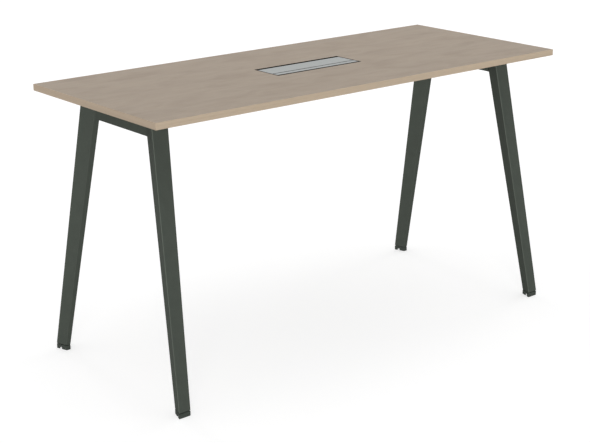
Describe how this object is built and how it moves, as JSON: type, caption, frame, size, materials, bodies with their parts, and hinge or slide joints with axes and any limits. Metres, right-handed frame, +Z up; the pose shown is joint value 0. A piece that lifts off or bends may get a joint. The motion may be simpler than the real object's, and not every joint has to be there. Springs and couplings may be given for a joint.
{
  "type": "standing meeting table",
  "caption": "Standing-height meeting table: long laminated top with a hinged cable flap, on splayed tapered steel legs with end rails and screw-out levelling feet.",
  "frame": {"origin": "on the floor, under the middle of the top", "axes": "+X along the table's length, +Y across it towards the side away from the flap's hinge, +Z up"},
  "size_m": [2, 0.8402, 1.078],
  "materials": {
    "laminate": "matt grey-brown oak laminate with a faint grain along the length",
    "edge_band": "matt light oak edge band",
    "powder_coat": "fine-textured matt powder coat, dark green-grey",
    "foot_plastic": "moulded, dark green-grey",
    "zinc_steel": "bright zinc plate",
    "anodised_aluminium": "satin anodised, brushed along its length",
    "black_plastic": "fine-grained moulded black",
    "rubber": "matt black",
    "bristle": "fine black nylon bristles"
  },
  "bodies": {
    "table": {"beam_bolts": "zinc_steel", "beam_end_plate_front_left": "powder_coat", "beam_end_plate_front_right": "powder_coat", "beam_end_plate_rear_left": "powder_coat", "beam_end_plate_rear_right": "powder_coat", "beam_front": "powder_coat", "beam_rear": "powder_coat", "beam_screws": "zinc_steel", "edge_band_front": "edge_band", "edge_band_left": "edge_band", "edge_band_rear": "edge_band", "edge_band_right": "edge_band", "end_rail_left": "powder_coat", "end_rail_right": "powder_coat", "flap_brush_bristles": "bristle", "flap_brush_holder": "black_plastic", "flap_frame": "black_plastic", "flap_frame_screws": "zinc_steel", "flap_hinge_pins": "zinc_steel", "flap_hinge_strip": "anodised_aluminium", "flap_lid_buffers": "rubber", "flap_strip_screws": "zinc_steel", "foot_nuts": "zinc_steel", "head_plate_front_left": "powder_coat", "head_plate_front_right": "powder_coat", "head_plate_rear_left": "powder_coat", "head_plate_rear_right": "powder_coat", "leg_end_plate_front_left": "powder_coat", "leg_end_plate_front_right": "powder_coat", "leg_end_plate_rear_left": "powder_coat", "leg_end_plate_rear_right": "powder_coat", "leg_front_left": "powder_coat", "leg_front_right": "powder_coat", "leg_rear_left": "powder_coat", "leg_rear_right": "powder_coat", "rail_nuts": "zinc_steel", "tabletop_board": "laminate", "top_inserts": "zinc_steel", "top_screws": "zinc_steel"},
    "flap_lid": {"flap_lid": "anodised_aluminium"},
    "foot_front_left": {"foot_cap_front_left": "foot_plastic"},
    "screw_front_left": {"level_screw_front_left": "zinc_steel", "foot_clip_front_left": "zinc_steel"},
    "foot_front_right": {"foot_cap_front_right": "foot_plastic"},
    "screw_front_right": {"level_screw_front_right": "zinc_steel", "foot_clip_front_right": "zinc_steel"},
    "foot_rear_left": {"foot_cap_rear_left": "foot_plastic"},
    "screw_rear_left": {"level_screw_rear_left": "zinc_steel", "foot_clip_rear_left": "zinc_steel"},
    "foot_rear_right": {"foot_cap_rear_right": "foot_plastic"},
    "screw_rear_right": {"level_screw_rear_right": "zinc_steel", "foot_clip_rear_right": "zinc_steel"}
  },
  "joints": [
    {"name": "flap_lid_hinge", "type": "hinge", "parent": "table", "child": "flap_lid", "pos_m": [0, -0.0259, 1.0745], "axis": [1, 0, 0], "range_deg": [0, 100]},
    {"name": "foot_front_left_slide", "type": "slide", "parent": "table", "child": "foot_front_left", "axis": [0, 0, -1], "range_m": [0, 0.01]},
    {"name": "screw_front_left_spin", "type": "hinge", "parent": "foot_front_left", "child": "screw_front_left", "pos_m": [-0.93, -0.3955, 0.02], "axis": [0, 0, -1], "range_deg": [0, 2880]},
    {"name": "foot_front_right_slide", "type": "slide", "parent": "table", "child": "foot_front_right", "axis": [0, 0, -1], "range_m": [0, 0.01]},
    {"name": "screw_front_right_spin", "type": "hinge", "parent": "foot_front_right", "child": "screw_front_right", "pos_m": [0.93, -0.3955, 0.02], "axis": [0, 0, -1], "range_deg": [0, 2880]},
    {"name": "foot_rear_left_slide", "type": "slide", "parent": "table", "child": "foot_rear_left", "axis": [0, 0, -1], "range_m": [0, 0.01]},
    {"name": "screw_rear_left_spin", "type": "hinge", "parent": "foot_rear_left", "child": "screw_rear_left", "pos_m": [-0.93, 0.3955, 0.02], "axis": [0, 0, -1], "range_deg": [0, 2880]},
    {"name": "foot_rear_right_slide", "type": "slide", "parent": "table", "child": "foot_rear_right", "axis": [0, 0, -1], "range_m": [0, 0.01]},
    {"name": "screw_rear_right_spin", "type": "hinge", "parent": "foot_rear_right", "child": "screw_rear_right", "pos_m": [0.93, 0.3955, 0.02], "axis": [0, 0, -1], "range_deg": [0, 2880]}
  ],
  "couplings": [
    {"joint": "screw_front_left_spin", "follows": "foot_front_left_slide", "rad_per_m": 5026.5},
    {"joint": "screw_front_right_spin", "follows": "foot_front_right_slide", "rad_per_m": 5026.5},
    {"joint": "screw_rear_left_spin", "follows": "foot_rear_left_slide", "rad_per_m": 5026.5},
    {"joint": "screw_rear_right_spin", "follows": "foot_rear_right_slide", "rad_per_m": 5026.5}
  ]
}
